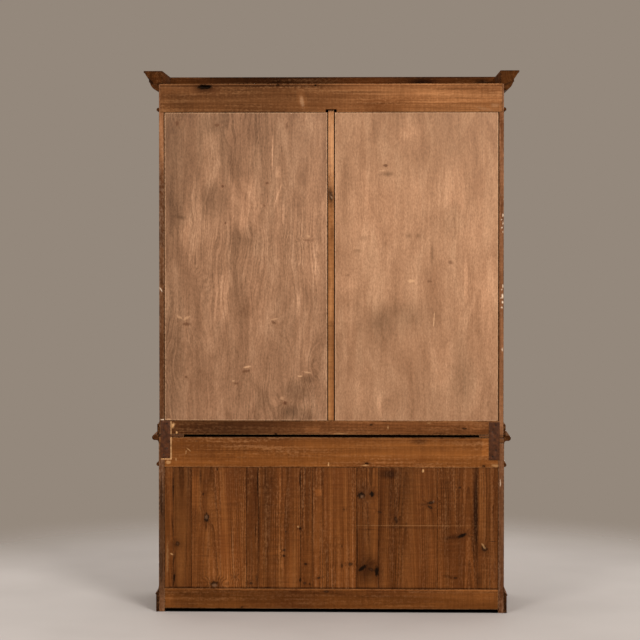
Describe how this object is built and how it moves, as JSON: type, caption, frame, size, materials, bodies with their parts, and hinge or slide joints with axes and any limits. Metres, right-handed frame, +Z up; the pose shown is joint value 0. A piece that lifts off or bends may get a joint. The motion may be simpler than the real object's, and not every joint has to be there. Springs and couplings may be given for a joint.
{
  "type": "glazed hutch",
  "caption": "Two-part pine hutch: a glazed display case with barred glass doors and a deep cornice on a base of drawers and panelled doors.",
  "frame": {"origin": "middle of the footprint's bounding box, on the floor", "axes": "+Z up, front doors face -Y, back plane at +Y, +X to the right as seen from the front"},
  "size_m": [1.726, 0.511, 2.496],
  "materials": {
    "stained_pine": "waxed, worn",
    "back_pine": "stained, rough",
    "plywood": "stained, dull",
    "raw_pine": "unfinished",
    "glass": "clear",
    "aged_brass": "aged",
    "steel": "worn",
    "dark_iron": "browned"
  },
  "bodies": {
    "carcass": {"upper_side_left": "stained_pine", "upper_side_right": "stained_pine", "upper_roof": "raw_pine", "upper_floor": "stained_pine", "upper_back_top_rail": "back_pine", "upper_back_bottom_rail": "back_pine", "upper_back_muntin": "back_pine", "upper_back_panel_left": "plywood", "upper_back_panel_right": "plywood", "waist_top": "stained_pine", "lower_side_left": "stained_pine", "lower_side_right": "stained_pine", "lower_floor": "stained_pine", "lower_partition": "raw_pine", "upper_face_frame": "stained_pine", "cornice_moulding": "stained_pine", "bead_mouldings": "stained_pine", "upper_plinth_moulding": "stained_pine", "upper_shelves": "raw_pine", "shelf_racks": "raw_pine", "case_bearers": "raw_pine", "waist_moulding": "stained_pine", "lower_face_frame": "stained_pine", "lower_back_rails": "back_pine", "lower_back_boards": "back_pine", "lower_shelves": "raw_pine", "drawer_runners": "raw_pine", "base_skirting": "stained_pine", "door_stops": "stained_pine", "joining_plates": "dark_iron", "joining_screws": "dark_iron", "case_hinge_leaves_and_strikes": "aged_brass"},
    "left_glazed_door": {"glazed_door_left_frame": "stained_pine", "glazed_door_left_bars": "stained_pine", "glazed_door_left_panes": "glass", "glazed_door_left_hinges_and_lock": "aged_brass"},
    "left_glazed_key": {"glazed_door_left_key": "steel"},
    "left_glazed_bolt": {"glazed_door_left_bolt": "steel"},
    "left_panel_door": {"panel_door_left_frame": "stained_pine", "panel_door_left_panels": "stained_pine", "panel_door_left_hinges_and_lock": "aged_brass"},
    "left_panel_key": {"panel_door_left_key": "steel"},
    "left_panel_bolt": {"panel_door_left_bolt": "steel"},
    "left_drawer": {"drawer_left_front": "stained_pine", "drawer_left_box": "raw_pine", "drawer_left_knobs": "stained_pine"},
    "right_glazed_door": {"glazed_door_right_frame": "stained_pine", "glazed_door_right_bars": "stained_pine", "glazed_door_right_panes": "glass", "glazed_door_right_hinges_and_lock": "aged_brass"},
    "right_glazed_key": {"glazed_door_right_key": "steel"},
    "right_glazed_bolt": {"glazed_door_right_bolt": "steel"},
    "right_panel_door": {"panel_door_right_frame": "stained_pine", "panel_door_right_panels": "stained_pine", "panel_door_right_hinges_and_lock": "aged_brass"},
    "right_panel_key": {"panel_door_right_key": "steel"},
    "right_panel_bolt": {"panel_door_right_bolt": "steel"},
    "right_drawer": {"drawer_right_front": "stained_pine", "drawer_right_box": "raw_pine", "drawer_right_knobs": "stained_pine"}
  },
  "joints": [
    {"name": "left_glazed_door_hinge", "type": "hinge", "parent": "carcass", "child": "left_glazed_door", "pos_m": [-0.717, -0.1293, 1.48], "axis": [0, 0, -1], "range_deg": [0, 165]},
    {"name": "left_glazed_key_turn", "type": "hinge", "parent": "left_glazed_door", "child": "left_glazed_key", "pos_m": [-0.072, -0.1245, 1.48], "axis": [0, 1, 0], "range_deg": [0, 180]},
    {"name": "left_glazed_bolt_throw", "type": "slide", "parent": "left_glazed_door", "child": "left_glazed_bolt", "axis": [1, 0, 0], "range_m": [0, 0.012]},
    {"name": "left_panel_door_hinge", "type": "hinge", "parent": "carcass", "child": "left_panel_door", "pos_m": [-0.72, -0.2293, 0.43], "axis": [0, 0, -1], "range_deg": [0, 165]},
    {"name": "left_panel_key_turn", "type": "hinge", "parent": "left_panel_door", "child": "left_panel_key", "pos_m": [-0.072, -0.2245, 0.43], "axis": [0, 1, 0], "range_deg": [0, 180]},
    {"name": "left_panel_bolt_throw", "type": "slide", "parent": "left_panel_door", "child": "left_panel_bolt", "axis": [1, 0, 0], "range_m": [0, 0.012]},
    {"name": "left_drawer_slide", "type": "slide", "parent": "carcass", "child": "left_drawer", "axis": [0, -1, 0], "range_m": [0, 0.33]},
    {"name": "right_glazed_door_hinge", "type": "hinge", "parent": "carcass", "child": "right_glazed_door", "pos_m": [0.717, -0.1293, 1.48], "axis": [0, 0, 1], "range_deg": [0, 165]},
    {"name": "right_glazed_key_turn", "type": "hinge", "parent": "right_glazed_door", "child": "right_glazed_key", "pos_m": [0.072, -0.1245, 1.48], "axis": [0, -1, 0], "range_deg": [0, 180]},
    {"name": "right_glazed_bolt_throw", "type": "slide", "parent": "right_glazed_door", "child": "right_glazed_bolt", "axis": [-1, 0, 0], "range_m": [0, 0.012]},
    {"name": "right_panel_door_hinge", "type": "hinge", "parent": "carcass", "child": "right_panel_door", "pos_m": [0.72, -0.2293, 0.43], "axis": [0, 0, 1], "range_deg": [0, 165]},
    {"name": "right_panel_key_turn", "type": "hinge", "parent": "right_panel_door", "child": "right_panel_key", "pos_m": [0.072, -0.2245, 0.43], "axis": [0, -1, 0], "range_deg": [0, 180]},
    {"name": "right_panel_bolt_throw", "type": "slide", "parent": "right_panel_door", "child": "right_panel_bolt", "axis": [-1, 0, 0], "range_m": [0, 0.012]},
    {"name": "right_drawer_slide", "type": "slide", "parent": "carcass", "child": "right_drawer", "axis": [0, -1, 0], "range_m": [0, 0.33]}
  ],
  "couplings": [
    {"joint": "left_glazed_bolt_throw", "follows": "left_glazed_key_turn", "m_per_rad": 0.003819},
    {"joint": "left_panel_bolt_throw", "follows": "left_panel_key_turn", "m_per_rad": 0.003819},
    {"joint": "right_glazed_bolt_throw", "follows": "right_glazed_key_turn", "m_per_rad": 0.003819},
    {"joint": "right_panel_bolt_throw", "follows": "right_panel_key_turn", "m_per_rad": 0.003819}
  ]
}
